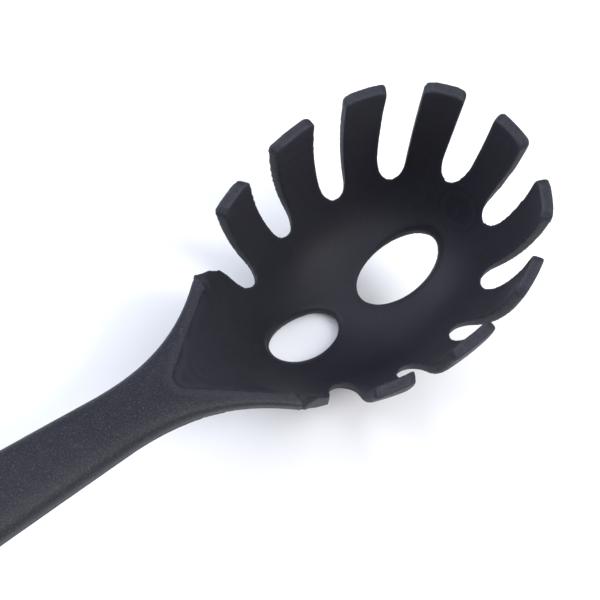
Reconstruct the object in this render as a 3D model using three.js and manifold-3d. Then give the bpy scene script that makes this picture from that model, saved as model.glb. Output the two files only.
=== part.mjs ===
// A pasta server: a deep oval bowl with tines round its rim, on a long hollow handle.
//
// Everything is drawn in the head's mould frame: X runs from the handle to the front of the bowl,
// Y runs to one side, and Z is the direction in which the mould opens. The finished pieces are then
// pitched together, so that the server lies on its bowl and on the flat under its handle's end.

import * as THREE from "three";
import { mergeVertices } from "three/addons/utils/BufferGeometryUtils.js";
import Module from "manifold-3d";

const wasm = await Module();
wasm.setup();

// ---------------------------------------------------------------- driving dimensions (mm, degrees)

const GAP = 0.3; // clearance kept between two pieces that touch
const FAR = 80; // reach of a cutter that must clear the part
const aheadX = -30; // station in front of the whole handle
const behindX = -280; // station behind it

const bowl = {
  centreX: -4, // station of the widest point, at the rim
  uprightZ: 4, // level at which the wall stands upright
  lidZ: 14, // top of the blank, above every rim
  shift: 4.4, // how far the deepest level is set forward of the rim
  planPower: 2.17, // squareness of the front half in plan
  spreadPower: 3.24, // squareness of the turn from the floor into the wall
  depthPower: 2.5,
  rampRun: 0.375, // how far the back ramp runs for each millimetre it climbs
  flareFrom: -8, // level above which the ramp eases towards the handle
  flareRate: 0.037,
};
const outerSkin = { front: 42.4, halfWidth: 34.2, depth: 54.7, back: 32.9 };
const innerSkin = { front: 39.4, halfWidth: 31.3, depth: 51.7, back: 30.4 };

// The rim dips a little towards the back of the bowl and rises to the front tine.
const rim = { lowX: -11, lowZ: -2.4, curve: 0.0006, backX: -36, frontX: 45 };

// Each slot opens away from its round root. Root centres are polar, as seen along Z.
const slot = { rootRadius: 3.9, flareAngle: 7.6, length: 45 };
const slotRoots = [
  { radius: 36.9, angle: 146.6, heading: 130.5 },
  { radius: 29.9, angle: 116.3, heading: 117.8 },
  { radius: 27.6, angle: 78.9, heading: 82.0 },
  { radius: 30.2, angle: 44.8, heading: 49.5 },
  { radius: 33.6, angle: 14.2, heading: 20.7 },
];
const drainHoles = [
  { x: 7.4, halfLength: 12.9, halfWidth: 7.4 },
  { x: -25.7, halfLength: 11.2, halfWidth: 5.9 },
];

// The fork: the handle's upper shell splits into two arms along a V with a round point.
const fork = { pointX: -68.6, halfAngle: 35.7, pointRadius: 3.5, endX: -45 };
const shoulder = { frontX: -37, frontY: 20.4, backY: 20, cornerRun: 1.5 };

const handle = {
  seamZ: -7.5, // height of the seam at the arms' ends
  startSlope: 0.62, // slope of the seam there
  endSlope: 0.42, // slope that the seam settles to
  slopeRun: 60, // length over which it settles
  neckX: -81, // narrowest station
  neckHalfWidth: 7,
  endX: -268,
  endHalfWidth: 11.3,
  endRadius: 11,
  flarePower: 2.4,
  neckHeight: 7.8,
  middleHeight: 10.8,
};
const neckBackX = -90; // station behind which the head is only its tang
const channel = { halfWidth: 5.1, lowZ: -2.4, highZ: 2.4, frontX: -62, backX: -243 };
const tang = { halfWidth: 4.7, halfHeight: 2.1, frontX: -60.5, stepX: -103, backX: -135 };
const bar = { halfWidth: 4.7, lowZ: -2.1, highZ: -0.2, frontX: -104, backX: -242 };
const nose = { frontX: -58, frontZ: -0.9, backX: -88 }; // the lower shell thins towards the bowl
const posts = {
  radius: 1.6,
  rootZ: -2.9, // buried in the lower shell's floor
  topZ: 3,
  socketTopZ: 3.4,
  tangStations: [-112, -127],
  barStation: -232,
};
const eyelet = {
  x: -255,
  boreRadius: 3.6,
  tubeRadius: 4.6,
  flangeRadius: 6.2,
  flangeHeight: 1.1,
  recess: 1.6, // how far the lower flange lies inside the underside
};
const facets = { bowlAround: 52, bowlDown: 36, handleAround: 24, handleAlong: 42, post: 16, eyelet: 32 };
const rowCrowding = 1.25; // above 1, the bowl's rows of facets lie closer together near the rim
const restPitch = 30.8; // turns the bowl and the handle's end down onto one surface

const colours = {
  headNylon: 0x2b2c33,
  shellNylon: 0x34353d,
  steel: 0xb9bbbd,
};

// ------------------------------------------------------------------------------- solids and booleans

// Turns a closed three.js geometry into a manifold solid.
function solid(geometry) {
  const bare = geometry.clone();
  bare.deleteAttribute("normal");
  bare.deleteAttribute("uv");
  const merged = mergeVertices(bare, 1e-4);
  const corners = Array.from(merged.index.array);
  const kept = [];
  for (let i = 0; i < corners.length; i += 3) {
    const [a, b, c] = corners.slice(i, i + 3);
    if (a !== b && b !== c && c !== a) kept.push(a, b, c);
  }
  const made = new wasm.Manifold(
    new wasm.Mesh({
      numProp: 3,
      vertProperties: merged.attributes.position.array,
      triVerts: new Uint32Array(kept),
    }),
  );
  return made;
}

function geometryOf(made) {
  const mesh = made.getMesh();
  const geometry = new THREE.BufferGeometry();
  geometry.setAttribute("position", new THREE.BufferAttribute(mesh.vertProperties, 3));
  geometry.setIndex(new THREE.BufferAttribute(mesh.triVerts, 1));
  return geometry.toNonIndexed();
}

function subtractAll(start, cutters) {
  return cutters.reduce((left, cutter) => left.subtract(cutter), start);
}

function addAll(start, others) {
  return others.reduce((sum, other) => sum.add(other), start);
}

// Moves every vertex of a geometry to where the given function says.
function reshape(geometry, place) {
  const position = geometry.getAttribute("position");
  const point = new THREE.Vector3();
  for (let i = 0; i < position.count; i += 1) {
    point.fromBufferAttribute(position, i);
    place(point);
    position.setXYZ(i, point.x, point.y, point.z);
  }
  return geometry;
}

// A prism that stands along Z on a closed outline drawn in X and Y.
function prism(shape, lowZ, highZ, curveSegments = 12) {
  const options = { depth: highZ - lowZ, bevelEnabled: false, curveSegments };
  return solid(new THREE.ExtrudeGeometry(shape, options).translate(0, 0, lowZ));
}

function mirrored(shape) {
  const points = shape.getPoints(12).map((p) => new THREE.Vector2(p.x, -p.y));
  return new THREE.Shape(points.reverse());
}

function block(lowX, highX, halfWidth, lowZ, highZ) {
  const geometry = new THREE.BoxGeometry(highX - lowX, 2 * halfWidth, highZ - lowZ);
  return solid(geometry.translate((lowX + highX) / 2, 0, (lowZ + highZ) / 2));
}

const radians = THREE.MathUtils.degToRad;

// A power that keeps its argument's sign, and takes rounding noise round zero as zero.
function signedPower(value, power) {
  return Math.abs(value) < 1e-9 ? 0 : Math.sign(value) * Math.abs(value) ** power;
}

// -------------------------------------------------------------------------------------- the handle

// Height of the seam between the two handle shells at station x.
function seamHeight(x) {
  const run = fork.endX - x;
  const settled = 1 - Math.exp(-run / handle.slopeRun);
  const extraSlope = handle.startSlope - handle.endSlope;
  return handle.seamZ + handle.endSlope * run + extraSlope * handle.slopeRun * settled;
}

function seamSlopeAngle(x) {
  const run = fork.endX - x;
  const extraSlope = handle.startSlope - handle.endSlope;
  return Math.atan(handle.endSlope + extraSlope * Math.exp(-run / handle.slopeRun));
}

// Half the handle's width: it flares to the shoulders in front of the neck, and swells behind it.
function handleHalfWidth(x) {
  if (x > handle.neckX) {
    const along = (x - handle.neckX) / (fork.endX - handle.neckX);
    return handle.neckHalfWidth + (shoulder.backY - handle.neckHalfWidth) * along ** handle.flarePower;
  }
  const along = (handle.neckX - x) / (handle.neckX - handle.endX);
  const swell = Math.sin((Math.PI / 2) * Math.min(along, 1));
  return handle.neckHalfWidth + (handle.endHalfWidth - handle.neckHalfWidth) * swell;
}

function handleHalfHeight(x) {
  const along = THREE.MathUtils.clamp((fork.endX - x) / (fork.endX - handle.endX), 0, 1);
  const swell = Math.sin(Math.PI * along ** 0.8);
  return (handle.neckHeight + (handle.middleHeight - handle.neckHeight) * swell) / 2;
}

// Sections are nearly flat-topped across the broad fork, and rounder along the grip.
function sectionPower(x) {
  const breadth = (handleHalfWidth(x) - handle.neckHalfWidth) / handle.endHalfWidth;
  return x > handle.neckX ? 3 + 7 * Math.max(0, breadth) : 3;
}

// The whole handle as one solid: a round tube blank, placed section by section.
function handleBlank() {
  const bodySteps = 0.86; // share of the sections in front of the rounded end
  const frontX = fork.endX + 4;
  const roundX = handle.endX + handle.endRadius;
  const tube = new THREE.CylinderGeometry(1, 1, 1, facets.handleAround, facets.handleAlong);
  tube.rotateZ(-Math.PI / 2);
  const place = (point) => {
    const along = 0.5 - point.x;
    const turn = (Math.max(0, along - bodySteps) / (1 - bodySteps)) * (Math.PI / 2);
    const bodyShare = Math.min(along / bodySteps, 1);
    const x = THREE.MathUtils.lerp(frontX, roundX, bodyShare) - handle.endRadius * Math.sin(turn);
    const widthShare = Math.cos(turn);
    const heightShare = Math.sqrt(Math.max(0, 1 - Math.sin(turn) ** 6));
    const power = 2 / sectionPower(x);
    const y = handleHalfWidth(x) * widthShare * signedPower(point.y, power);
    const z = handleHalfHeight(x) * heightShare * signedPower(point.z, power);
    point.set(x, y, seamHeight(x) + z);
  };
  return solid(reshape(tube, place));
}

// A straight bar bent along the seam, between two stations and two heights above the seam.
function alongSeam(frontX, backX, halfWidth, lowZ, highZ) {
  const steps = Math.max(2, Math.ceil((frontX - backX) / 12));
  const length = frontX - backX;
  const geometry = new THREE.BoxGeometry(length, 2 * halfWidth, highZ - lowZ, steps, 1, 1);
  geometry.translate((frontX + backX) / 2, 0, (lowZ + highZ) / 2);
  const bend = (point) => {
    point.z += seamHeight(point.x);
  };
  return solid(reshape(geometry, bend));
}

// A round bar square to the seam at station x.
function postAt(x, radius, lowZ, highZ) {
  const geometry = new THREE.CylinderGeometry(radius, radius, highZ - lowZ, facets.post);
  geometry.rotateX(Math.PI / 2).translate(0, 0, (lowZ + highZ) / 2);
  geometry.rotateY(seamSlopeAngle(x));
  return solid(geometry.translate(x, 0, seamHeight(x)));
}

// A hole right through a bar on the seam, with clearance for a post.
function postHoleAt(x) {
  return postAt(x, posts.radius + GAP, 2 * channel.lowZ, 2 * channel.highZ);
}

// The V between the fork's arms, drawn larger or smaller by the given margin.
function forkNotch(margin, lowZ, highZ) {
  const half = radians(fork.halfAngle);
  const radius = fork.pointRadius + margin;
  const centreX = fork.pointX + fork.pointRadius / Math.sin(half);
  const reach = FAR / 2;
  const start = Math.PI / 2 + half;
  const tangentX = centreX + radius * Math.cos(start);
  const tangentY = radius * Math.sin(start);
  const mouthY = tangentY + reach * Math.tan(half);
  const shape = new THREE.Shape();
  shape.moveTo(tangentX + reach, mouthY);
  shape.lineTo(tangentX, tangentY);
  shape.absarc(centreX, 0, radius, start, 2 * Math.PI - start, false);
  shape.lineTo(tangentX + reach, -mouthY);
  return prism(shape, lowZ, highZ, 10);
}

// ---------------------------------------------------------------------------------------- the bowl

// One skin of the bowl as a closed solid: a ball whose lower half is drawn out to the bowl's surface
// and whose upper half becomes a flat lid.
function bowlBlank(skin, margin = 0) {
  const depth = skin.depth + margin;
  const ball = new THREE.SphereGeometry(1, facets.bowlAround, facets.bowlDown).rotateX(Math.PI / 2);
  const place = (point) => {
    const round = Math.hypot(point.x, point.y);
    const climb = THREE.MathUtils.clamp(2 * point.z, 0, 1);
    const lidSpread = point.z > 0.5 ? round / Math.sqrt(0.75) : 1;
    const turn = Math.asin(THREE.MathUtils.clamp(-point.z, 0, 1)) / (Math.PI / 2);
    const sunk = Math.sin((Math.PI / 2) * turn ** rowCrowding);
    const spread = Math.max(0, 1 - sunk ** bowl.depthPower) ** (1 / bowl.spreadPower);
    const z = bowl.uprightZ - (depth + bowl.uprightZ) * sunk + (bowl.lidZ - bowl.uprightZ) * climb;
    const forward = bowl.shift * sunk;
    const ramp = bowl.rampRun * (z + depth) + bowl.flareRate * Math.max(0, z - bowl.flareFrom) ** 2;
    const front = (skin.front + margin - forward) * spread * lidSpread;
    const back = ((skin.back + margin + forward) * spread + ramp) * lidSpread;
    const halfWidth = (skin.halfWidth + margin) * spread * lidSpread;
    const cosine = round > 0 ? point.x / round : 0;
    const sine = round > 0 ? point.y / round : 0;
    const power = cosine > 0 ? 2 / bowl.planPower : 1;
    const reach = cosine > 0 ? front : back;
    const x = bowl.centreX + forward + reach * signedPower(cosine, power);
    point.set(x, halfWidth * signedPower(sine, power), z);
  };
  return solid(reshape(ball, place));
}

// What stands above the rim, from behind the first slot to past the front tine.
function aboveRim() {
  const steps = 8;
  const shape = new THREE.Shape();
  shape.moveTo(rim.backX, FAR);
  for (let i = 0; i <= steps; i += 1) {
    const x = THREE.MathUtils.lerp(rim.backX, rim.frontX, i / steps);
    shape.lineTo(x, rim.lowZ + rim.curve * (x - rim.lowX) ** 2);
  }
  shape.lineTo(rim.frontX, FAR);
  return sideProfile(shape, FAR);
}

// A prism that lies along Y on a closed outline drawn in X and Z.
function sideProfile(shape, halfWidth) {
  const options = { depth: 2 * halfWidth, bevelEnabled: false, curveSegments: 8 };
  const geometry = new THREE.ExtrudeGeometry(shape, options);
  return solid(geometry.translate(0, 0, -halfWidth).rotateX(Math.PI / 2));
}

function slotCutters() {
  const half = radians(slot.flareAngle);
  const outline = new THREE.Shape();
  const tangentX = -slot.rootRadius * Math.sin(half);
  const tangentY = slot.rootRadius * Math.cos(half);
  const mouthY = tangentY + (slot.length - tangentX) * Math.tan(half);
  outline.moveTo(slot.length, mouthY);
  outline.lineTo(tangentX, tangentY);
  outline.absarc(0, 0, slot.rootRadius, Math.PI / 2 + half, 1.5 * Math.PI - half, false);
  outline.lineTo(slot.length, -mouthY);
  const cutters = [];
  for (const root of slotRoots) {
    for (const side of [1, -1]) {
      const geometry = new THREE.ExtrudeGeometry(outline, {
        depth: FAR,
        bevelEnabled: false,
        curveSegments: 8,
      });
      geometry.rotateZ(side * radians(root.heading));
      const angle = side * radians(root.angle);
      geometry.translate(root.radius * Math.cos(angle), root.radius * Math.sin(angle), -FAR * 0.75);
      cutters.push(solid(geometry));
    }
  }
  return cutters;
}

function drainHoleCutters() {
  return drainHoles.map((hole) => {
    const shape = new THREE.Shape();
    shape.absellipse(hole.x, 0, hole.halfLength, hole.halfWidth, 0, 2 * Math.PI, false);
    return prism(shape, -FAR, 0, 20);
  });
}

// What lies outside the shoulders and the neck, on both sides of the head.
function neckWaste() {
  const steps = 12;
  const shape = new THREE.Shape();
  shape.moveTo(shoulder.frontX + shoulder.cornerRun, FAR);
  shape.lineTo(shoulder.frontX + shoulder.cornerRun, shoulder.frontY);
  shape.lineTo(shoulder.frontX, shoulder.frontY);
  for (let i = 0; i <= steps; i += 1) {
    const x = THREE.MathUtils.lerp(fork.endX, handle.neckX, i / steps);
    shape.lineTo(x, handleHalfWidth(x));
  }
  shape.lineTo(neckBackX, handle.neckHalfWidth);
  shape.lineTo(neckBackX, FAR);
  return [prism(shape, -FAR, FAR), prism(mirrored(shape), -FAR, FAR)];
}

// The room above the seam that belongs to the upper shell's arms, or lies over the shoulders.
function aboveSeam(frontX, backX, lift) {
  return alongSeam(frontX, backX, FAR, lift, FAR);
}

function head() {
  const wall = bowlBlank(outerSkin).subtract(bowlBlank(innerSkin));
  const armSpace = aboveSeam(fork.endX, neckBackX, -GAP / 2).subtract(forkNotch(-GAP, -FAR, FAR));
  const shoulderTop = aboveSeam(rim.backX, fork.endX - 1, handle.neckHeight / 2);
  const shell = subtractAll(wall, [
    armSpace,
    shoulderTop,
    aboveRim(),
    ...neckWaste(),
    ...slotCutters(),
    ...drainHoleCutters(),
  ]);
  const thickTang = alongSeam(tang.frontX, tang.stepX, tang.halfWidth, -tang.halfHeight, tang.halfHeight);
  const thinTang = alongSeam(tang.stepX + 1, tang.backX, tang.halfWidth, 0.1, tang.halfHeight);
  const holes = posts.tangStations.map(postHoleAt);
  return subtractAll(addAll(shell, [thickTang, thinTang]), holes);
}

// ------------------------------------------------------------------------------ the handle's pieces

// Heights of the eyelet's two ends, measured square to the seam.
function eyeletEnds() {
  const top = handleHalfHeight(eyelet.x) * Math.cos(seamSlopeAngle(eyelet.x));
  return { top, bottom: eyelet.recess - top };
}

function eyeletSolid() {
  const { top, bottom } = eyeletEnds();
  const underTop = top - eyelet.flangeHeight;
  const overBottom = bottom + eyelet.flangeHeight;
  const profile = [
    [eyelet.boreRadius, bottom],
    [eyelet.flangeRadius, bottom],
    [eyelet.flangeRadius, overBottom],
    [eyelet.tubeRadius, overBottom],
    [eyelet.tubeRadius, underTop],
    [eyelet.flangeRadius, underTop],
    [eyelet.flangeRadius, top],
    [eyelet.boreRadius, top],
    [eyelet.boreRadius, bottom],
  ].map(([radius, height]) => new THREE.Vector2(radius, height));
  const geometry = new THREE.LatheGeometry(profile, facets.eyelet).rotateX(Math.PI / 2);
  geometry.rotateY(seamSlopeAngle(eyelet.x));
  return solid(geometry.translate(eyelet.x, 0, seamHeight(eyelet.x)));
}

// The holes that the eyelet needs: one for its tube, and a seat for each flange.
function eyeletSeats() {
  const { top, bottom } = eyeletEnds();
  const seat = eyelet.flangeHeight + GAP;
  return [
    postAt(eyelet.x, eyelet.tubeRadius + GAP, -FAR / 4, FAR / 4),
    postAt(eyelet.x, eyelet.flangeRadius + GAP, top - seat, FAR / 4),
    postAt(eyelet.x, eyelet.flangeRadius + GAP, -FAR / 4, bottom + seat),
  ];
}

function upperShell(blank) {
  const below = alongSeam(aheadX, behindX, FAR, -FAR, GAP / 2);
  const inFront = block(fork.endX - GAP, 0, FAR, -FAR, FAR);
  const space = alongSeam(channel.frontX, tang.backX - 1, channel.halfWidth, -1, channel.highZ);
  const sockets = [...posts.tangStations, posts.barStation];
  return subtractAll(blank, [
    below,
    inFront,
    forkNotch(0, -FAR, FAR),
    space,
    ...sockets.map((x) => postAt(x, posts.radius + GAP, -1, posts.socketTopZ)),
    ...eyeletSeats(),
  ]);
}

// What the lower shell loses where it thins out under the arms.
function belowNose() {
  const steps = 8;
  const shape = new THREE.Shape();
  shape.moveTo(nose.backX, -FAR);
  for (let i = 0; i <= steps; i += 1) {
    const x = THREE.MathUtils.lerp(nose.backX, nose.frontX + 1, i / steps);
    const share = (1 - Math.cos((Math.PI * i) / steps)) / 2;
    shape.lineTo(x, seamHeight(x) + THREE.MathUtils.lerp(-handle.neckHeight / 2, nose.frontZ, share));
  }
  shape.lineTo(nose.frontX + 1, -FAR);
  return sideProfile(shape, FAR);
}

function lowerShell(blank, tableLevel) {
  const above = alongSeam(aheadX, behindX, FAR, -GAP / 2, FAR);
  const inFront = block(nose.frontX, 0, FAR, -FAR, FAR);
  const openFrontX = nose.frontX + 1;
  const space = alongSeam(openFrontX, channel.backX, channel.halfWidth, channel.lowZ, 1);
  const shell = subtractAll(blank, [
    above,
    inFront,
    space,
    belowNose(),
    bowlBlank(outerSkin, GAP),
    ...eyeletSeats(),
    belowTable(tableLevel),
  ]);
  const stations = [...posts.tangStations, posts.barStation];
  const pegs = stations.map((x) => postAt(x, posts.radius, posts.rootZ, posts.topZ));
  return addAll(shell, pegs);
}

function stiffenerBar() {
  const strip = alongSeam(bar.frontX, bar.backX, bar.halfWidth, bar.lowZ, bar.highZ);
  const stations = [...posts.tangStations, posts.barStation];
  return subtractAll(strip, stations.map(postHoleAt));
}

// ------------------------------------------------------------------------------------ lying at rest

const pitch = radians(restPitch);

// Height of the lowest point of a solid once it is pitched.
function lowestAtRest(made) {
  const geometry = geometryOf(made).rotateY(-pitch);
  geometry.computeBoundingBox();
  return geometry.boundingBox.min.z;
}

// Everything below the table, in the mould frame.
function belowTable(tableLevel) {
  const geometry = new THREE.BoxGeometry(8 * FAR, 2 * FAR, FAR);
  return solid(geometry.translate(0, 0, tableLevel - FAR / 2).rotateY(pitch));
}

// --------------------------------------------------------------------------------------- the pieces

function piece(name, made, color, roughness, metalness) {
  const material = new THREE.MeshStandardMaterial({ color, roughness, metalness });
  const mesh = new THREE.Mesh(geometryOf(made), material);
  mesh.name = name;
  return mesh;
}

const headSolid = head();
const blank = handleBlank();
const tableLevel = lowestAtRest(headSolid);

const lying = new THREE.Group();
lying.rotation.y = -pitch;
lying.add(piece("server_head", headSolid, colours.headNylon, 0.55, 0));
lying.add(piece("handle_upper_shell", upperShell(blank), colours.shellNylon, 0.7, 0));
lying.add(piece("handle_lower_shell", lowerShell(blank, tableLevel), colours.shellNylon, 0.7, 0));
lying.add(piece("stiffener_bar", stiffenerBar(), colours.steel, 0.35, 1));
lying.add(piece("hanging_eyelet", eyeletSolid(), colours.shellNylon, 0.6, 0));

// The origin is the middle of the footprint's box, on the surface that the server lies on.
const pastaServer = new THREE.Group();
pastaServer.add(lying);
pastaServer.updateMatrixWorld(true);
const extent = new THREE.Box3().setFromObject(pastaServer, true);
lying.position.set(
  -(extent.min.x + extent.max.x) / 2,
  -(extent.min.y + extent.max.y) / 2,
  -extent.min.z,
);

export default pastaServer;
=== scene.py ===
# A matte nylon pasta server, lying on its bowl and on the end of its handle, on a plain pale floor.
#
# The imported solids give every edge, slot and hole. The head and the two handle shells each start from
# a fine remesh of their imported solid. Points near a curved surface are put exactly on that surface's
# formula, the tine tips, shoulders and drain holes get rounded corners, and the other edges are
# softened. The handle's arms lap slightly over the head, so that no crack shows along the fork. The
# eyelet is turned from its own section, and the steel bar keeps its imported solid.

import math

import bpy
import numpy as np
from mathutils import Matrix, Vector


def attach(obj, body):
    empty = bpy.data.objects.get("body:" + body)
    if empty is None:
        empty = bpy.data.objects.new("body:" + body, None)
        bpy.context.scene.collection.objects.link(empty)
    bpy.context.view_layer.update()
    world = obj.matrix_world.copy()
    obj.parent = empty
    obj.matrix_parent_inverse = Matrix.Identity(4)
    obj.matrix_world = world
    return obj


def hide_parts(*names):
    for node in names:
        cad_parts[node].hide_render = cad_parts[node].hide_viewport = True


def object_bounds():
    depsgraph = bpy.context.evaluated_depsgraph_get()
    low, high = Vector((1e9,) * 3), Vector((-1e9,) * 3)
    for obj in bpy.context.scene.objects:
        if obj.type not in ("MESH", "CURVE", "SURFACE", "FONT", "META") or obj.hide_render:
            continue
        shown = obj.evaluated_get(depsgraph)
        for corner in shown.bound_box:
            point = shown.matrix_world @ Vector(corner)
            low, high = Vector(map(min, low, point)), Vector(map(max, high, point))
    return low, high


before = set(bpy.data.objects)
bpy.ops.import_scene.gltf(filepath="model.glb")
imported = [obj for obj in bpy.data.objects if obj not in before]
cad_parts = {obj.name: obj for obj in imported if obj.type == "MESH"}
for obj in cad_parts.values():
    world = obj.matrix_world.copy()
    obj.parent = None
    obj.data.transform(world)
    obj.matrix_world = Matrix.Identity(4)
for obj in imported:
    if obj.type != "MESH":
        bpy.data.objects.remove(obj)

CAD_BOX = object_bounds()
MM = 0.001

# ---------------------------------------------------------------- the design's dimensions (mm, degrees)
# The mould frame: X from the handle to the front tine, Z the direction in which the mould opens.

REST_PITCH = math.radians(30.8)

BOWL = {
    "centre_x": -4,
    "upright_z": 4,
    "shift": 4.4,
    "plan_power": 2.17,
    "spread_power": 3.24,
    "depth_power": 2.5,
    "ramp_run": 0.375,
    "flare_from": -8,
    "flare_rate": 0.037,
}
OUTER_SKIN = {"front": 42.4, "half_width": 34.2, "depth": 54.7, "back": 32.9}
INNER_SKIN = {"front": 39.4, "half_width": 31.3, "depth": 51.7, "back": 30.4}
RIM = {"low_x": -11, "low_z": -2.4, "curve": 0.0006, "back_x": -36}
SLOT = {"root_radius": 3.9, "flare": math.radians(7.6)}
SLOT_ROOTS = [  # radius, angle and heading, in plan
    (36.9, 146.6, 130.5),
    (29.9, 116.3, 117.8),
    (27.6, 78.9, 82.0),
    (30.2, 44.8, 49.5),
    (33.6, 14.2, 20.7),
]
DRAIN_HOLES = [(7.4, 12.9, 7.4), (-25.7, 11.2, 5.9)]  # station, half length, half width
TANG_BACK_X = -135
FORK_END_X = -45
FORK = {"point_x": -68.6, "half_angle": math.radians(35.7), "radius": 3.5}
PACKED_GAP = 0.3
SHOULDER_BACK_Y = 20
SHOULDER_FRONT_X = -34
HANDLE = {
    "seam_z": -7.5,
    "start_slope": 0.62,
    "end_slope": 0.42,
    "slope_run": 60,
    "neck_x": -81,
    "neck_half_width": 7,
    "end_x": -268,
    "end_half_width": 11.3,
    "end_radius": 11,
    "flare_power": 2.4,
    "neck_height": 7.8,
    "middle_height": 10.8,
    "swell_power": 0.8,
    "grip_power": 3,  # how square the grip's section is
    "fork_gain": 7,  # how much squarer it gets as the fork widens
    "end_power": 6,
}
EYELET = {
    "x": -255,
    "bore": 3.6,
    "tube": 4.6,
    "flange": 6.2,
    "height": 1.1,
    "recess": 1.6,
    "edge": 0.4,
    "small_edge": 0.1,
    "turns": 96,
    "corner_points": 5,
}

# ------------------------------------------------------------------------- the fine surface (millimetres)

HEAD_VOXEL = 0.4
UPPER_SHELL_VOXEL = 0.4
LOWER_SHELL_VOXEL = 0.45
HEAD_SOFTENING = 7  # rounds of relaxing, which soften the edges
SHELL_SOFTENING = 3
SHOULDER_SOFTENING = 40
MASK_SOFTENING = 4
POLISH_SOFTENING = 3
FULL_WEAR_AND_SHEEN = 0.12  # an edge that softening moved this far gets the full edge colour, partly wear and partly painted highlight

SKIN_REACH = 0.4  # how far a packed facet of the bowl may lie from the surface that it stands for
HANDLE_REACH = 0.45  # the same for the handle's facets
WALL_REACH = 0.25  # the same for the walls of slots and drain holes
EDGE_REACH = 0.3  # how far a remeshed edge may lie from the true edge
CORNER_REACH = 0.4  # how far outside a wall a point may lie and still belong to its corner
RIM_REACH = 0.5  # the same for the rim's top
FACING = 0.86  # cosine of the largest angle between a surface and a facet that stands for it
WALLS_BACK_X = -50  # behind this there are no slots or drain holes
SEAM_LAP = 0.1  # how far each shell passes the seam plane, so that no crack shows
ARM_LAP = 0.3  # how far the arms lap over the head, for the same reason
LAP_DROP = 0.05  # how far the lapped edge of the head lies below the arms
TIP_RADIUS = 2.6  # rounding of a tine's two top corners
SHOULDER_RADIUS = 3.4  # rounding of a shoulder's corner beside the first slot
HOLE_EDGE_RADIUS = 1.5  # rounding round the top of a drain hole
HOLE_EDGE_DEPTH = 2.5  # only points this near the bowl's inside are rounded
CRISP_ANGLE = math.radians(40)  # the handle's edges stay crisp from this angle
RAMP_FILLET = 1.8  # width of the fillet between the ramp and the arms
SHOULDER_INNER_Y = 13  # the shoulders lie outside this, on both sides
SHOULDER_SOFT_DEPTH = 10  # softening of the shoulders fades out at this depth below their top
SHOULDER_HOLD_DEPTH = 8  # their ends are held this far down

# Points this close to a wall keep their place when the edges are softened.
RAMP_HOLD = 0.5
SEAM_HOLD = 0.5
ARM_HOLD = 0.8


def mould_origin():
    """The mould frame's origin, in millimetres of the row frame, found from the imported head."""
    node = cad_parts["server_head"]
    points = np.array([v.co for v in node.data.vertices]) / MM
    turned = points @ mould_axes()
    lowest = turned.min(0)
    origin = np.array([lowest[0] - TANG_BACK_X, 0, lowest[2] + OUTER_SKIN["depth"]])
    return mould_axes() @ origin


def mould_axes():
    """The mould frame's axes, as the columns of a rotation in the row frame."""
    c = math.cos(REST_PITCH)
    s = math.sin(REST_PITCH)
    return np.array([[c, 0, -s], [0, 1, 0], [s, 0, c]])


AXES = mould_axes()
ORIGIN = mould_origin()


def to_mould(points):
    return (points / MM - ORIGIN) @ AXES


def to_row(points):
    return (points @ AXES.T + ORIGIN) * MM


# ------------------------------------------------------------------- the design's surfaces, as formulas
# Each takes points in the mould frame and gives a value that is 0 on the surface and grows outwards.


def bowl_skin(skin, points):
    x, y, z = points.T
    almost_one = 0.9999
    sunk = np.clip((BOWL["upright_z"] - z) / (skin["depth"] + BOWL["upright_z"]), 0, almost_one)
    spread = (1 - sunk ** BOWL["depth_power"]) ** (1 / BOWL["spread_power"])
    forward = BOWL["shift"] * sunk
    flare = BOWL["flare_rate"] * np.maximum(0, z - BOWL["flare_from"]) ** 2
    ramp = BOWL["ramp_run"] * (z + skin["depth"]) + flare
    reach = x - BOWL["centre_x"] - forward
    front = (skin["front"] - forward) * spread
    back = (skin["back"] + forward) * spread + ramp
    length = np.where(reach > 0, front, back)
    power = np.where(reach > 0, BOWL["plan_power"], 2)
    along = np.abs(reach) / length
    across = np.abs(y) / (skin["half_width"] * spread)
    return (along**power + across**power) ** (1 / power) - 1


def outer_skin(points):
    return bowl_skin(OUTER_SKIN, points)


def inner_skin(points):
    return bowl_skin(INNER_SKIN, points)


def seam_height(x):
    run = FORK_END_X - x
    settled = 1 - np.exp(-run / HANDLE["slope_run"])
    extra = HANDLE["start_slope"] - HANDLE["end_slope"]
    return HANDLE["seam_z"] + HANDLE["end_slope"] * run + extra * HANDLE["slope_run"] * settled


def seam_angle(x):
    extra = HANDLE["start_slope"] - HANDLE["end_slope"]
    return math.atan(HANDLE["end_slope"] + extra * math.exp((x - FORK_END_X) / HANDLE["slope_run"]))


def handle_half_width(x):
    neck = HANDLE["neck_half_width"]
    ahead = np.clip((x - HANDLE["neck_x"]) / (FORK_END_X - HANDLE["neck_x"]), 0, None)
    behind = np.clip((HANDLE["neck_x"] - x) / (HANDLE["neck_x"] - HANDLE["end_x"]), 0, 1)
    flare = (SHOULDER_BACK_Y - neck) * ahead ** HANDLE["flare_power"]
    swell = (HANDLE["end_half_width"] - neck) * np.sin(np.pi / 2 * behind)
    return neck + flare + swell


def handle_half_height(x):
    along = np.clip((FORK_END_X - x) / (FORK_END_X - HANDLE["end_x"]), 0, 1)
    swell = np.sin(np.pi * along ** HANDLE["swell_power"])
    return (HANDLE["neck_height"] + (HANDLE["middle_height"] - HANDLE["neck_height"]) * swell) / 2


def handle_power(x):
    """The power that shapes the handle's section: rounder along the grip, squarer across the fork."""
    breadth = (handle_half_width(x) - HANDLE["neck_half_width"]) / HANDLE["end_half_width"]
    squarer = HANDLE["grip_power"] + HANDLE["fork_gain"] * np.maximum(0, breadth)
    return np.where(x > HANDLE["neck_x"], squarer, HANDLE["grip_power"])


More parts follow.
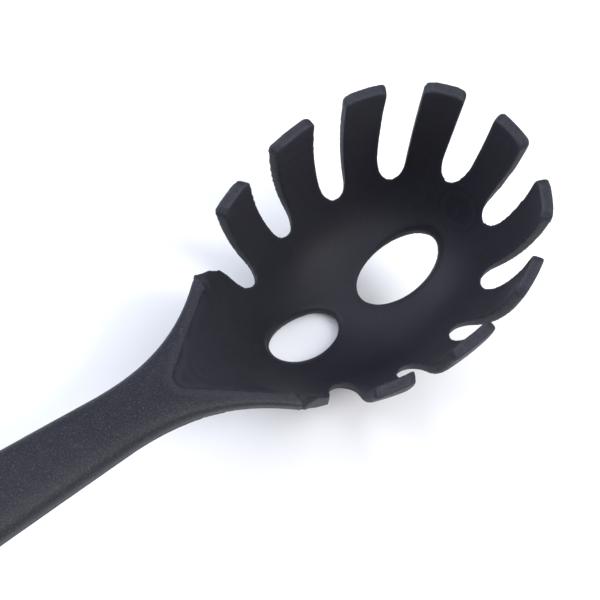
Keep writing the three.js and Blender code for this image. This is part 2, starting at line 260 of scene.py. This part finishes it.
def handle_top(points):
    """The height of the handle's upper surface over each point."""
    x, y, _ = points.T
    almost_one = 0.99
    power = handle_power(x)
    across = np.clip(np.abs(y) / handle_half_width(x), 0, almost_one)
    return seam_height(x) + handle_half_height(x) * (1 - across**power) ** (1 / power)


def handle_skin(points):
    x, y, z = points.T
    almost_one = 0.999
    power = handle_power(x)
    turn = np.clip((HANDLE["end_x"] + HANDLE["end_radius"] - x) / HANDLE["end_radius"], 0, almost_one)
    across = np.abs(y) / (handle_half_width(x) * np.sqrt(1 - turn**2))
    up = np.abs(z - seam_height(x)) / (handle_half_height(x) * np.sqrt(1 - turn ** HANDLE["end_power"]))
    return (across**power + up**power) ** (1 / power) - 1


def slot_frame(root, side, points):
    """Distances along and across one slot, from the centre of its round root."""
    radius, angle, heading = root
    centre = radius * np.array([math.cos(math.radians(angle)), side * math.sin(math.radians(angle))])
    ahead = np.array([math.cos(math.radians(heading)), side * math.sin(math.radians(heading))])
    offset = points[:, :2] - centre
    along = offset @ ahead
    across = offset @ np.array([-ahead[1], ahead[0]])
    return along, across, ahead


def slot_wall(root, side):
    """A slot's wall: 0 on it, positive in the material beside the slot."""

    def value(points):
        along, across, _ = slot_frame(root, side, points)
        tilt = along * math.sin(SLOT["flare"])
        beside = np.abs(across) * math.cos(SLOT["flare"]) - tilt - SLOT["root_radius"]
        root_end = np.hypot(along, across) - SLOT["root_radius"]
        in_root = along < -SLOT["root_radius"] * math.sin(SLOT["flare"])
        return np.where(in_root, root_end, beside)

    return value


def hole_wall(hole):
    station, half_length, half_width = hole

    def value(points):
        reach = np.hypot((points[:, 0] - station) / half_length, points[:, 1] / half_width)
        return (reach - 1) * half_width

    return value


def fork_wall(points):
    """The arms' side of the V: 0 on it, positive in the arms."""
    centre_x = FORK["point_x"] + FORK["radius"] / math.sin(FORK["half_angle"])
    along = points[:, 0] - centre_x
    across = np.abs(points[:, 1])
    beside = across * math.cos(FORK["half_angle"]) - along * math.sin(FORK["half_angle"])
    in_point = along < -FORK["radius"] * math.sin(FORK["half_angle"])
    return np.where(in_point, np.hypot(along, across), beside) - FORK["radius"]


def ramp_side(points):
    """The head's side of the V: 0 on it, positive beyond it."""
    return fork_wall(points) + PACKED_GAP


def shoulder_depth(points):
    """How far below the shoulders' top a point is."""
    return seam_height(points[:, 0]) + HANDLE["neck_height"] / 2 - points[:, 2]


def rim_depth(points):
    """How far below the rim's top a point is."""
    return RIM["low_z"] + RIM["curve"] * (points[:, 0] - RIM["low_x"]) ** 2 - points[:, 2]


SLOT_WALLS = [slot_wall(root, side) for root in SLOT_ROOTS for side in (1, -1)]
HOLE_WALLS = [hole_wall(hole) for hole in DRAIN_HOLES]

# ----------------------------------------------------------------------------------- work on fine meshes


def distance_and_direction(surface, points):
    """A surface's signed distance, to first order, and its outward direction at each point."""
    step = 0.02
    tiny = 1e-9
    value = surface(points)
    slope = np.empty_like(points)
    for axis in range(3):
        offset = np.zeros(3)
        offset[axis] = step
        slope[:, axis] = (surface(points + offset) - surface(points - offset)) / (2 * step)
    length = np.linalg.norm(slope, axis=1)
    length[length < tiny] = 1
    return value / length, slope / length[:, None]


def pull(points, chosen, surface, reach):
    """Moves the chosen points onto a surface, by no more than the reach."""
    distance, direction = distance_and_direction(surface, points[chosen])
    points[chosen] -= np.clip(distance, -reach, reach)[:, None] * direction


def settle(points, normals, surface, reach, only=None):
    """Puts the points that belong to a surface exactly on it: those near it that face along it."""
    distance, direction = distance_and_direction(surface, points)
    facing = np.abs(np.sum(direction * normals, axis=1)) > FACING
    chosen = facing & (np.abs(distance) < reach)
    if only is not None:
        chosen &= only
    for _ in range(2):
        pull(points, chosen, surface, reach)
    return chosen


def sharpen(points, first, second, only):
    """Draws the points near the edge where two surfaces meet onto that edge, and tells which they are."""
    near_first = np.abs(distance_and_direction(first, points)[0]) < EDGE_REACH
    near_second = np.abs(distance_and_direction(second, points)[0]) < EDGE_REACH
    chosen = only & near_first & near_second
    for _ in range(4):
        pull(points, chosen, first, EDGE_REACH)
        pull(points, chosen, second, EDGE_REACH)
    return chosen


def round_corner(points, first, second, radius, only):
    """Rounds the corner between two surfaces that bound the material, each by its inward distance."""
    tiny = 1e-6
    depth_a, inward_a = first
    depth_b, inward_b = second
    chosen = only & (depth_a < radius) & (depth_b < radius)
    out_a = radius - np.clip(depth_a[chosen], 0, radius)
    out_b = radius - np.clip(depth_b[chosen], 0, radius)
    length = np.hypot(out_a, out_b)
    shrink = 1 - np.maximum(out_a, out_b) / np.maximum(length, tiny)
    points[chosen] += (out_a * shrink)[:, None] * inward_a[chosen]
    points[chosen] += (out_b * shrink)[:, None] * inward_b[chosen]


def mesh_arrays(mesh):
    points = np.empty(len(mesh.vertices) * 3)
    mesh.vertices.foreach_get("co", points)
    normals = np.empty(len(mesh.vertices) * 3)
    mesh.vertices.foreach_get("normal", normals)
    edges = np.empty(len(mesh.edges) * 2, int)
    mesh.edges.foreach_get("vertices", edges)
    return points.reshape(-1, 3), normals.reshape(-1, 3), edges.reshape(-1, 2)


def relax(values, edges, rounds):
    """Moves each row of values halfway to the average of its neighbours' rows, a few times."""
    count, columns = values.shape
    degree = np.bincount(edges.ravel(), minlength=count)[:, None]
    ends = np.concatenate([edges[:, 0], edges[:, 1]])
    others = np.concatenate([edges[:, 1], edges[:, 0]])
    for _ in range(rounds):
        sums = [np.bincount(ends, weights=values[others, a], minlength=count) for a in range(columns)]
        middle = np.stack(sums, axis=1) / degree
        values = values + (middle - values) / 2
    return values


def fine_copy(node, name, voxel):
    """A fine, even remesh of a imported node, as a new object."""
    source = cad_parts[node]
    piece = bpy.data.objects.new(name, source.data.copy())
    piece.data.materials.clear()
    bpy.context.scene.collection.objects.link(piece)
    remesh = piece.modifiers.new("remesh", "REMESH")
    remesh.mode = "VOXEL"
    remesh.voxel_size = voxel * MM
    remesh.use_smooth_shade = True
    graph = bpy.context.evaluated_depsgraph_get()
    fine = bpy.data.meshes.new_from_object(piece.evaluated_get(graph))
    piece.modifiers.clear()
    piece.data = fine
    return piece


def fine_points(node, name, voxel):
    """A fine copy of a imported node, with its points and normals in the mould frame, and its edges."""
    piece = fine_copy(node, name, voxel)
    points, normals, edges = mesh_arrays(piece.data)
    return piece, to_mould(points), normals @ AXES, edges


def store(piece, points, edges, rounds, masks, held):
    """Softens the edges that aren't held, writes the points back and keeps the materials' masks."""
    before = points
    points = np.where(held[:, None], before, relax(points, edges, rounds))
    # The edge mask is how far softening moved each point. The materials draw these edges lighter, partly
    # as wear and partly as a painted highlight.
    moved = np.linalg.norm(points - before, axis=1)
    wear_and_sheen = relax(moved[:, None], edges, MASK_SOFTENING)[:, 0] / FULL_WEAR_AND_SHEEN
    masks = dict(masks, edge=np.clip(wear_and_sheen, 0, 1))
    inside_box = np.clip(to_row(points), np.array(CAD_BOX[0]), np.array(CAD_BOX[1]))
    piece.data.vertices.foreach_set("co", inside_box.ravel())
    for mask_name, values in masks.items():
        layer = piece.data.attributes.new(mask_name, "FLOAT", "POINT")
        layer.data.foreach_set("value", np.asarray(values, np.float32))
    piece.data.update()
    piece.data.shade_smooth()


def finish_piece(piece, node, material):
    piece.data.materials.clear()
    piece.data.materials.append(material)
    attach(piece, "root")
    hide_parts(node)


# ------------------------------------------------------------------------------------------ materials

# The edge colour is lighter and bluish, partly wear and partly a painted highlight on the rounded edges.
EDGE_WEAR_AND_SHEEN = (0.045, 0.046, 0.056)
NYLON_SPECULAR = 0.36

class Nodes:
    """A small helper that adds and links shader nodes."""

    def __init__(self, name):
        self.material = bpy.data.materials.new(name)
        self.material.use_nodes = True
        self.tree = self.material.node_tree
        self.shader = self.tree.nodes["Principled BSDF"]
        self.place = self.tree.nodes.new("ShaderNodeTexCoord").outputs["Object"]

    def link(self, output, target):
        self.tree.links.new(output, target)

    def noise(self, scale, detail=2.0, roughness=0.5, stretch=None):
        node = self.tree.nodes.new("ShaderNodeTexNoise")
        node.inputs["Scale"].default_value = scale
        node.inputs["Detail"].default_value = detail
        node.inputs["Roughness"].default_value = roughness
        source = self.place
        if stretch:
            mapping = self.tree.nodes.new("ShaderNodeMapping")
            mapping.inputs["Scale"].default_value = stretch
            self.link(self.place, mapping.inputs["Vector"])
            source = mapping.outputs["Vector"]
        self.link(source, node.inputs["Vector"])
        return node.outputs["Fac"]

    def cells(self, scale):
        node = self.tree.nodes.new("ShaderNodeTexVoronoi")
        node.inputs["Scale"].default_value = scale
        self.link(self.place, node.inputs["Vector"])
        return node.outputs["Distance"]

    def mask(self, name):
        node = self.tree.nodes.new("ShaderNodeAttribute")
        node.attribute_name = name
        return node.outputs["Fac"]

    def spread(self, value, low, high, to_low, to_high):
        node = self.tree.nodes.new("ShaderNodeMapRange")
        self.link(value, node.inputs["Value"])
        node.inputs["From Min"].default_value = low
        node.inputs["From Max"].default_value = high
        node.inputs["To Min"].default_value = to_low
        node.inputs["To Max"].default_value = to_high
        return node.outputs["Result"]

    def math(self, operation, first, second):
        node = self.tree.nodes.new("ShaderNodeMath")
        node.operation = operation
        for socket, value in zip(node.inputs, (first, second)):
            if isinstance(value, (int, float)):
                socket.default_value = value
            else:
                self.link(value, socket)
        return node.outputs["Value"]

    def blend(self, factor, first, second):
        node = self.tree.nodes.new("ShaderNodeMix")
        node.data_type = "RGBA"
        self.link(factor, node.inputs["Factor"])
        for name, value in (("A", first), ("B", second)):
            socket = next(s for s in node.inputs if s.name == name and s.type == "RGBA")
            if isinstance(value, tuple):
                socket.default_value = (*value, 1)
            else:
                self.link(value, socket)
        return next(s for s in node.outputs if s.type == "RGBA")

    def bump(self, height, distance, strength=1.0, below=None):
        node = self.tree.nodes.new("ShaderNodeBump")
        node.inputs["Strength"].default_value = strength
        node.inputs["Distance"].default_value = distance
        self.link(height, node.inputs["Height"])
        if below is not None:
            self.link(below, node.inputs["Normal"])
        return node.outputs["Normal"]


def head_nylon():
    """Moulded nylon: smooth inside the bowl, grained on its rim and cut faces, lighter along edges,
    partly as wear and partly as a painted highlight.
    """
    smooth_dark = (0.0060, 0.0058, 0.0110)
    smooth_light = (0.0080, 0.0077, 0.0145)
    grain_dark = (0.0045, 0.0046, 0.0085)
    grain_light = (0.0130, 0.0135, 0.0215)
    n = Nodes("head_nylon")
    cloud = n.noise(60, detail=4, roughness=0.6)
    grain = n.noise(1500, detail=3)
    grained = n.math("SUBTRACT", 1.0, n.mask("polish"))
    smooth_colour = n.blend(n.spread(cloud, 0.35, 0.65, 0, 1), smooth_dark, smooth_light)
    rough_colour = n.blend(n.spread(grain, 0.38, 0.66, 0, 1), grain_dark, grain_light)
    body = n.blend(grained, smooth_colour, rough_colour)
    # Lightens the edges, partly as wear and partly as a painted highlight.
    worn_and_sheened = n.blend(n.math("MULTIPLY", n.mask("edge"), 0.35), body, EDGE_WEAR_AND_SHEEN)
    n.link(worn_and_sheened, n.shader.inputs["Base Color"])
    base = n.spread(cloud, 0.3, 0.7, 0.56, 0.63)
    n.link(n.math("ADD", base, n.math("MULTIPLY", grained, 0.05)), n.shader.inputs["Roughness"])
    fine = n.bump(grain, 0.0001, 0.5)
    height = n.math("MULTIPLY", n.cells(1300), grained)
    n.link(n.bump(height, 0.00012, 0.6, fine), n.shader.inputs["Normal"])
    n.shader.inputs["Specular IOR Level"].default_value = NYLON_SPECULAR
    return n.material


def grip_nylon():
    """The handle's nylon: a fine spark-eroded grain with painted glints as lighter specks, and lighter
    along edges, partly as wear and partly as a painted highlight.
    """
    dark = (0.0048, 0.0050, 0.0095)
    light = (0.0075, 0.0076, 0.0135)
    # The colour of the painted glints on the grain.
    glint_colour = (0.040, 0.041, 0.050)
    n = Nodes("grip_nylon")
    cloud = n.noise(40, detail=4, roughness=0.6)
    grain = n.noise(2100, detail=3, roughness=0.6)
    speck = n.noise(3200, detail=2)
    body = n.blend(n.spread(cloud, 0.35, 0.65, 0, 1), dark, light)
    # Lighter specks here are painted glints of the spark-eroded grain.
    with_painted_glints = n.blend(n.spread(speck, 0.54, 0.74, 0, 1), body, glint_colour)
    # Lightens the edges, partly as wear and partly as a painted highlight.
    worn_and_sheened = n.blend(n.math("MULTIPLY", n.mask("edge"), 0.3), with_painted_glints, EDGE_WEAR_AND_SHEEN)
    n.link(worn_and_sheened, n.shader.inputs["Base Color"])
    n.link(n.spread(grain, 0.3, 0.7, 0.48, 0.62), n.shader.inputs["Roughness"])
    coarse = n.bump(n.cells(1400), 0.00011, 0.5)
    n.link(n.bump(grain, 0.00009, 0.5, coarse), n.shader.inputs["Normal"])
    n.shader.inputs["Specular IOR Level"].default_value = NYLON_SPECULAR
    return n.material


def eyelet_nylon():
    """Satin nylon of the hanging eyelet, with a faint fine grain."""
    n = Nodes("eyelet_nylon")
    grain = n.noise(1800, detail=3)
    colour = n.blend(n.spread(grain, 0.35, 0.65, 0, 1), (0.016, 0.016, 0.019), (0.026, 0.026, 0.031))
    n.link(colour, n.shader.inputs["Base Color"])
    n.link(n.spread(grain, 0.3, 0.7, 0.34, 0.46), n.shader.inputs["Roughness"])
    n.link(n.bump(grain, 0.00005, 0.3), n.shader.inputs["Normal"])
    return n.material


def bar_steel():
    """Brushed steel, with its marks drawn out along the bar."""
    n = Nodes("bar_steel")
    brushed = n.noise(900, detail=4, stretch=(0.04, 1, 1))
    colour = n.blend(brushed, (0.42, 0.42, 0.43), (0.62, 0.62, 0.63))
    n.link(colour, n.shader.inputs["Base Color"])
    n.shader.inputs["Metallic"].default_value = 1.0
    n.link(n.spread(brushed, 0.3, 0.7, 0.24, 0.42), n.shader.inputs["Roughness"])
    n.link(n.bump(brushed, 0.00003, 0.4), n.shader.inputs["Normal"])
    return n.material


def floor_material():
    """Matte white, very faintly mottled."""
    n = Nodes("floor")
    mottle = n.noise(8, detail=3)
    colour = n.blend(n.spread(mottle, 0.3, 0.7, 0, 1), (0.86, 0.86, 0.86), (0.89, 0.89, 0.89))
    n.link(colour, n.shader.inputs["Base Color"])
    n.shader.inputs["Roughness"].default_value = 0.9
    return n.material


# --------------------------------------------------------------------------------------- the pieces


def build_head(material):
    piece, points, normals, edges = fine_points("server_head", "bowl_and_tines", HEAD_VOXEL)
    settle(points, normals, outer_skin, SKIN_REACH)
    on_inner = settle(points, normals, inner_skin, SKIN_REACH)
    for wall in SLOT_WALLS + HOLE_WALLS:
        below_rim = rim_depth(points) > -1
        settle(points, normals, wall, WALL_REACH, only=below_rim & (points[:, 0] > WALLS_BACK_X))
    round_tips(points)
    round_holes(points)
    points = soften_shoulders(points, edges)
    held = fit_ramp_to_arms(points)
    polish = relax(on_inner[:, None].astype(float), edges, POLISH_SOFTENING)[:, 0]
    store(piece, points, edges, HEAD_SOFTENING, {"polish": polish}, held)
    finish_piece(piece, "server_head", material)


def fit_ramp_to_arms(points):
    """Shapes the ramp's edge and the shoulders' ends to meet the arms, and tells which points to hold."""
    x = points[:, 0]
    on_ramp = (x < FORK_END_X + 1) & (x > FORK["point_x"] - 1)
    sharpen(points, inner_skin, ramp_side, on_ramp)
    held = on_ramp & (np.abs(ramp_side(points)) < RAMP_HOLD)
    held |= (np.abs(x - FORK_END_X) < ARM_HOLD) & (shoulder_depth(points) < SHOULDER_HOLD_DEPTH)
    raise_ramp_edge(points)
    on_shoulder_top = np.abs(shoulder_depth(points)) < EDGE_REACH
    points[on_shoulder_top & (x < FORK_END_X + 2 * ARM_LAP), 2] -= LAP_DROP
    return held


def fade(values, start, run):
    """Rises from 0 at the start to 1 over the run."""
    return np.clip((values - start) / run, 0, 1)


def soften_shoulders(points, edges):
    """Smooths the shoulders, most in their middle and not at all where they meet the arms."""
    x = points[:, 0]
    weight = fade(x, FORK_END_X + ARM_HOLD, 2)
    weight *= fade(-x, -SHOULDER_FRONT_X - 1, 2)
    weight *= fade(-shoulder_depth(points), -SHOULDER_SOFT_DEPTH, 4)
    weight *= fade(np.abs(points[:, 1]), SHOULDER_INNER_Y, 3)
    return points + weight[:, None] * (relax(points, edges, SHOULDER_SOFTENING) - points)


def raise_ramp_edge(points):
    """Lifts the ramp's edge beside the arms in a fillet, so that it meets their upper edge."""
    inside = -ramp_side(points)
    skin_distance = np.abs(distance_and_direction(inner_skin, points)[0])
    chosen = (inside > -EDGE_REACH) & (inside < RAMP_FILLET) & (skin_distance < 2 * EDGE_REACH)
    chosen &= (points[:, 0] < FORK_END_X + 2) & (points[:, 0] > FORK["point_x"] - 2)
    rise = np.maximum(0, handle_top(points[chosen]) - LAP_DROP - points[chosen, 2])
    near = 1 - np.clip((inside[chosen] - ARM_LAP) / (RAMP_FILLET - ARM_LAP), 0, 1)
    points[chosen, 2] += np.minimum(rise, RAMP_FILLET) * near**2


def round_tips(points):
    """Rounds the two top corners of every tine, as seen on its broad face, and of the shoulders."""
    below = rim_depth(points)
    down = np.tile([0.0, 0.0, -1.0], (len(points), 1))
    near_rim = (below > -RIM_REACH) & (points[:, 0] > RIM["back_x"])
    for root in SLOT_ROOTS:
        for side in (1, -1):
            along, _, _ = slot_frame(root, side, points)
            depth, direction = distance_and_direction(slot_wall(root, side), points)
            beside = near_rim & (along > 0) & (depth > -CORNER_REACH)
            round_corner(points, (depth, direction), (below, down), TIP_RADIUS, beside)
    below = shoulder_depth(points)
    on_shoulder = (below > -RIM_REACH) & (points[:, 0] < RIM["back_x"]) & (points[:, 0] > FORK_END_X)
    for side in (1, -1):
        depth, direction = distance_and_direction(slot_wall(SLOT_ROOTS[0], side), points)
        beside = on_shoulder & (depth > -CORNER_REACH)
        round_corner(points, (depth, direction), (below, down), SHOULDER_RADIUS, beside)


def round_holes(points):
    """Rounds the edge round the top of each drain hole."""
    for wall in HOLE_WALLS:
        depth, direction = distance_and_direction(wall, points)
        rise, outward = distance_and_direction(inner_skin, points)
        near_hole = (depth > -CORNER_REACH) & (rise > -CORNER_REACH) & (rise < HOLE_EDGE_DEPTH)
        round_corner(points, (depth, direction), (rise, outward), HOLE_EDGE_RADIUS, near_hole)


def lap_wall(points, surface, chosen):
    """Moves a wall of the arms, with its upper edge, to where it laps over the head."""
    wall = chosen & (points[:, 0] > FORK["point_x"] - 1)
    distance, direction = distance_and_direction(surface, points[wall])
    points[wall] -= distance[:, None] * direction
    top = handle_top(points)
    edge = wall & (points[:, 2] > top - HANDLE_REACH)
    points[edge, 2] = top[edge]


def arm_end(points):
    return points[:, 0] - FORK_END_X - ARM_LAP


def arm_side(points):
    return ramp_side(points) + ARM_LAP


def build_shell(node, name, voxel, seam_side, material):
    """One half of the handle. The seam side is 1 for the half above the seam, -1 for the one below."""

    def seam(p):
        return seam_side * (p[:, 2] - seam_height(p[:, 0])) + SEAM_LAP

    piece, points, normals, edges = fine_points(node, name, voxel)
    settle(points, normals, handle_skin, HANDLE_REACH, only=points[:, 0] < FORK_END_X - 0.2)
    behind_arms = points[:, 0] < FORK_END_X
    settle(points, normals, seam, SKIN_REACH, behind_arms)
    lap_wall(points, arm_side, fork_wall(points) < EDGE_REACH)
    lap_wall(points, arm_end, points[:, 0] > FORK_END_X - PACKED_GAP - EDGE_REACH)
    held = sharpen(points, seam, handle_skin, behind_arms)
    held |= sharpen(points, arm_end, handle_skin, points[:, 0] > FORK_END_X - 2 * EDGE_REACH)
    held |= sharpen(points, arm_side, handle_skin, points[:, 0] > FORK["point_x"] - 1)
    held |= np.abs(seam(points)) < SEAM_HOLD
    held |= np.abs(arm_end(points)) < SEAM_HOLD
    held |= np.abs(arm_side(points)) < ARM_HOLD
    store(piece, points, edges, SHELL_SOFTENING, {}, held)
    piece.data.set_sharp_from_angle(angle=CRISP_ANGLE)
    finish_piece(piece, node, material)


def eyelet_profile():
    """The eyelet's section: a tube with a flange at each end, every outer corner rounded."""
    half = handle_half_height(EYELET["x"]) * math.cos(seam_angle(EYELET["x"]))
    top = half
    bottom = EYELET["recess"] - half
    edge = EYELET["edge"]
    small = EYELET["small_edge"]
    corners = [
        (EYELET["bore"], bottom, edge),
        (EYELET["flange"], bottom, edge),
        (EYELET["flange"], bottom + EYELET["height"], small),
        (EYELET["tube"], bottom + EYELET["height"], small),
        (EYELET["tube"], top - EYELET["height"], small),
        (EYELET["flange"], top - EYELET["height"], small),
        (EYELET["flange"], top, edge),
        (EYELET["bore"], top, edge),
    ]
    profile = []
    for i, (radius, height, size) in enumerate(corners):
        here = np.array([radius, height])
        before = np.array(corners[i - 1][:2]) - here
        after = np.array(corners[(i + 1) % len(corners)][:2]) - here
        start = here + before / np.linalg.norm(before) * size
        end = here + after / np.linalg.norm(after) * size
        for share in np.linspace(0, 1, EYELET["corner_points"]):
            point = (1 - share) ** 2 * start + 2 * share * (1 - share) * here + share**2 * end
            profile.append(point)
    return np.array(profile)


def eyelet_points(profile):
    """The section turned round the eyelet's axis, which stands square to the seam."""
    angle = seam_angle(EYELET["x"])
    c = math.cos(angle)
    s = math.sin(angle)
    rings = []
    for turn in np.linspace(0, 2 * np.pi, EYELET["turns"], endpoint=False):
        radius, height = profile.T
        rings.append(np.stack([radius * np.cos(turn), radius * np.sin(turn), height], axis=1))
    tilted = np.concatenate(rings) @ np.array([[c, 0, s], [0, 1, 0], [-s, 0, c]]).T
    return tilted + np.array([EYELET["x"], 0, seam_height(EYELET["x"])])


def ring_faces(turns, count):
    """The faces between rings of points, each ring joined to the next and the last to the first."""
    faces = []
    for turn in range(turns):
        here = turn * count
        there = ((turn + 1) % turns) * count
        for i in range(count):
            j = (i + 1) % count
            faces.append((here + i, there + i, there + j, here + j))
    return faces


def build_eyelet(material):
    profile = eyelet_profile()
    mesh = bpy.data.meshes.new("eyelet_ring")
    faces = ring_faces(EYELET["turns"], len(profile))
    mesh.from_pydata(to_row(eyelet_points(profile)).tolist(), [], faces)
    mesh.shade_smooth()
    piece = bpy.data.objects.new("eyelet_ring", mesh)
    bpy.context.scene.collection.objects.link(piece)
    finish_piece(piece, "hanging_eyelet", material)


def finish_bar(material):
    """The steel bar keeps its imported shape, and only gets its material."""
    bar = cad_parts["stiffener_bar"]
    bar.data.materials.clear()
    bar.data.materials.append(material)


# ------------------------------------------------------------------------------- floor, light, camera


def build_floor(material):
    """A plain floor, a hair's breadth below the part so that the two surfaces don't coincide."""
    bpy.ops.mesh.primitive_plane_add(size=6, location=(0, 0, -0.0001))
    floor = bpy.context.object
    floor.name = "floor"
    floor.data.materials.append(material)


def area_light(name, energy, size, position, target, colour=(1, 1, 1)):
    light = bpy.data.lights.new(name, "AREA")
    light.energy = energy
    light.size = size
    light.color = colour
    lamp = bpy.data.objects.new(name, light)
    lamp.location = position
    lamp.rotation_euler = (Vector(target) - Vector(position)).to_track_quat("-Z", "Y").to_euler()
    bpy.context.scene.collection.objects.link(lamp)


def build_lights():
    """One broad soft light overhead, and a smaller one at each side that lights the bowl's walls."""
    bowl = (0.12, 0, 0.03)
    area_light("overhead", 24, 2.4, (-0.1, 0, 1.2), bowl, (0.86, 0.89, 1))
    area_light("left_panel", 4.5, 0.5, (0.22, -0.54, 0.74), bowl, (1, 0.98, 0.97))
    area_light("right_panel", 7, 0.5, (-0.44, 0.58, 0.44), bowl, (0.80, 0.86, 1))


def build_surround():
    """A dim, even, pale surround. The plain view transform lets the pale floor come out white."""
    world = bpy.data.worlds.new("studio")
    bpy.context.scene.world = world
    world.use_nodes = True
    background = world.node_tree.nodes["Background"]
    background.inputs["Color"].default_value = (0.95, 0.97, 1, 1)
    background.inputs["Strength"].default_value = 0.3
    bpy.context.scene.view_settings.view_transform = "Standard"


def build_camera():
    """The camera, placed in the mould frame: its right, up and back directions, and how far off it is."""
    right = np.array([0.766, -0.641, 0.044])
    up = np.array([0.605, 0.742, 0.289])
    back = np.cross(right, up)
    offset = (-22.85, -19.07, 320)  # along right, up and back, from the mould frame's origin
    place = offset[0] * right + offset[1] * up + offset[2] * back
    camera = bpy.data.objects.new("camera", bpy.data.cameras.new("camera"))
    bpy.context.scene.collection.objects.link(camera)
    rotation = Matrix((AXES @ right, AXES @ up, AXES @ back)).transposed()
    camera.matrix_world = Matrix.Translation(Vector(to_row(place[None])[0])) @ rotation.to_4x4()
    camera.data.sensor_width = 36
    camera.data.lens = 82.6
    bpy.context.scene.camera = camera


build_camera()
grip = grip_nylon()
build_head(head_nylon())
build_shell("handle_upper_shell", "forked_grip", UPPER_SHELL_VOXEL, 1, grip)
build_shell("handle_lower_shell", "grip_underside", LOWER_SHELL_VOXEL, -1, grip)
build_eyelet(eyelet_nylon())
finish_bar(bar_steel())
build_floor(floor_material())
build_lights()
build_surround()
